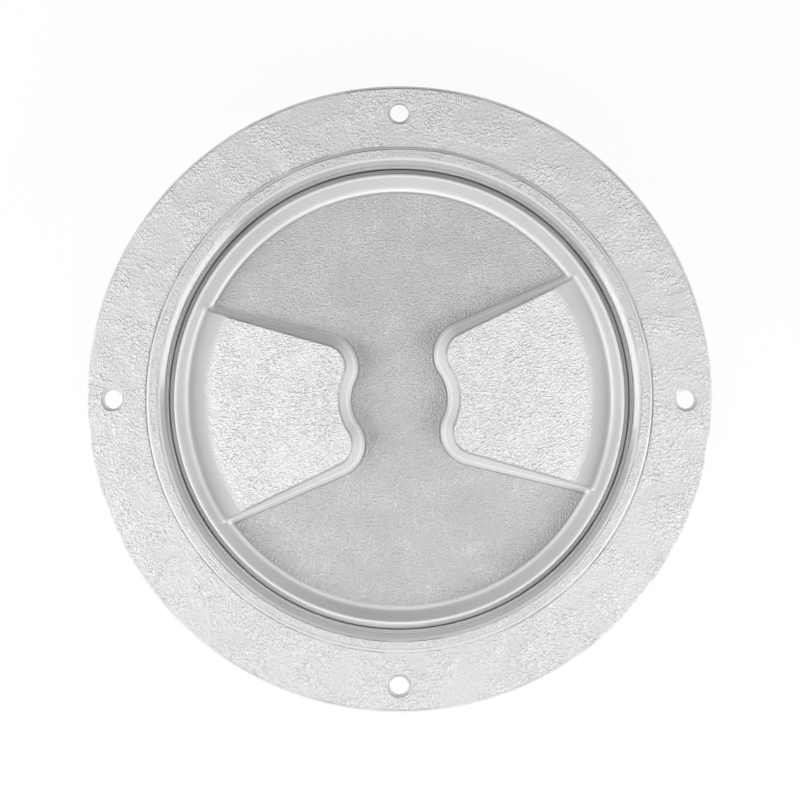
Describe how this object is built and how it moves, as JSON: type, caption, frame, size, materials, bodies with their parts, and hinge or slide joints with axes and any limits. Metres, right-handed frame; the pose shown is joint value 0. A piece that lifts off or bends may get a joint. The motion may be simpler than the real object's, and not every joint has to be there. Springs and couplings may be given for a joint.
{
  "type": "deck inspection plate",
  "caption": "Round screw-out deck hatch: a flanged ring with a threaded sleeve and a dished lid that has ramped grip pads and a rubber seal.",
  "frame": {"origin": "centre of the flange's flat mounting face, where it lies on the deck", "axes": "+Z points out of the deck along the thread's axis, and the fixing holes lie on the X and Y axes"},
  "size_m": [0.15, 0.15, 0.0236],
  "materials": {
    "ring_plastic": "semi-gloss, leather grain on the flange",
    "lid_plastic": "semi-gloss, pebble grain on the pads and floor",
    "seal_rubber": "matte black"
  },
  "bodies": {
    "deck_frame": {"flange_ring": "ring_plastic"},
    "seal": {"o_ring": "seal_rubber"},
    "cover": {"lid": "lid_plastic"}
  },
  "joints": [
    {"name": "lid_lift", "type": "slide", "parent": "deck_frame", "child": "seal", "axis": [0, 0, 1], "range_m": [0, 0.012]},
    {"name": "lid_turn", "type": "hinge", "parent": "seal", "child": "cover", "pos_m": [0, 0, 0], "axis": [0, 0, 1], "range_deg": [0, 720]}
  ],
  "couplings": [
    {"joint": "lid_lift", "follows": "lid_turn", "m_per_rad": 0.00095492}
  ]
}
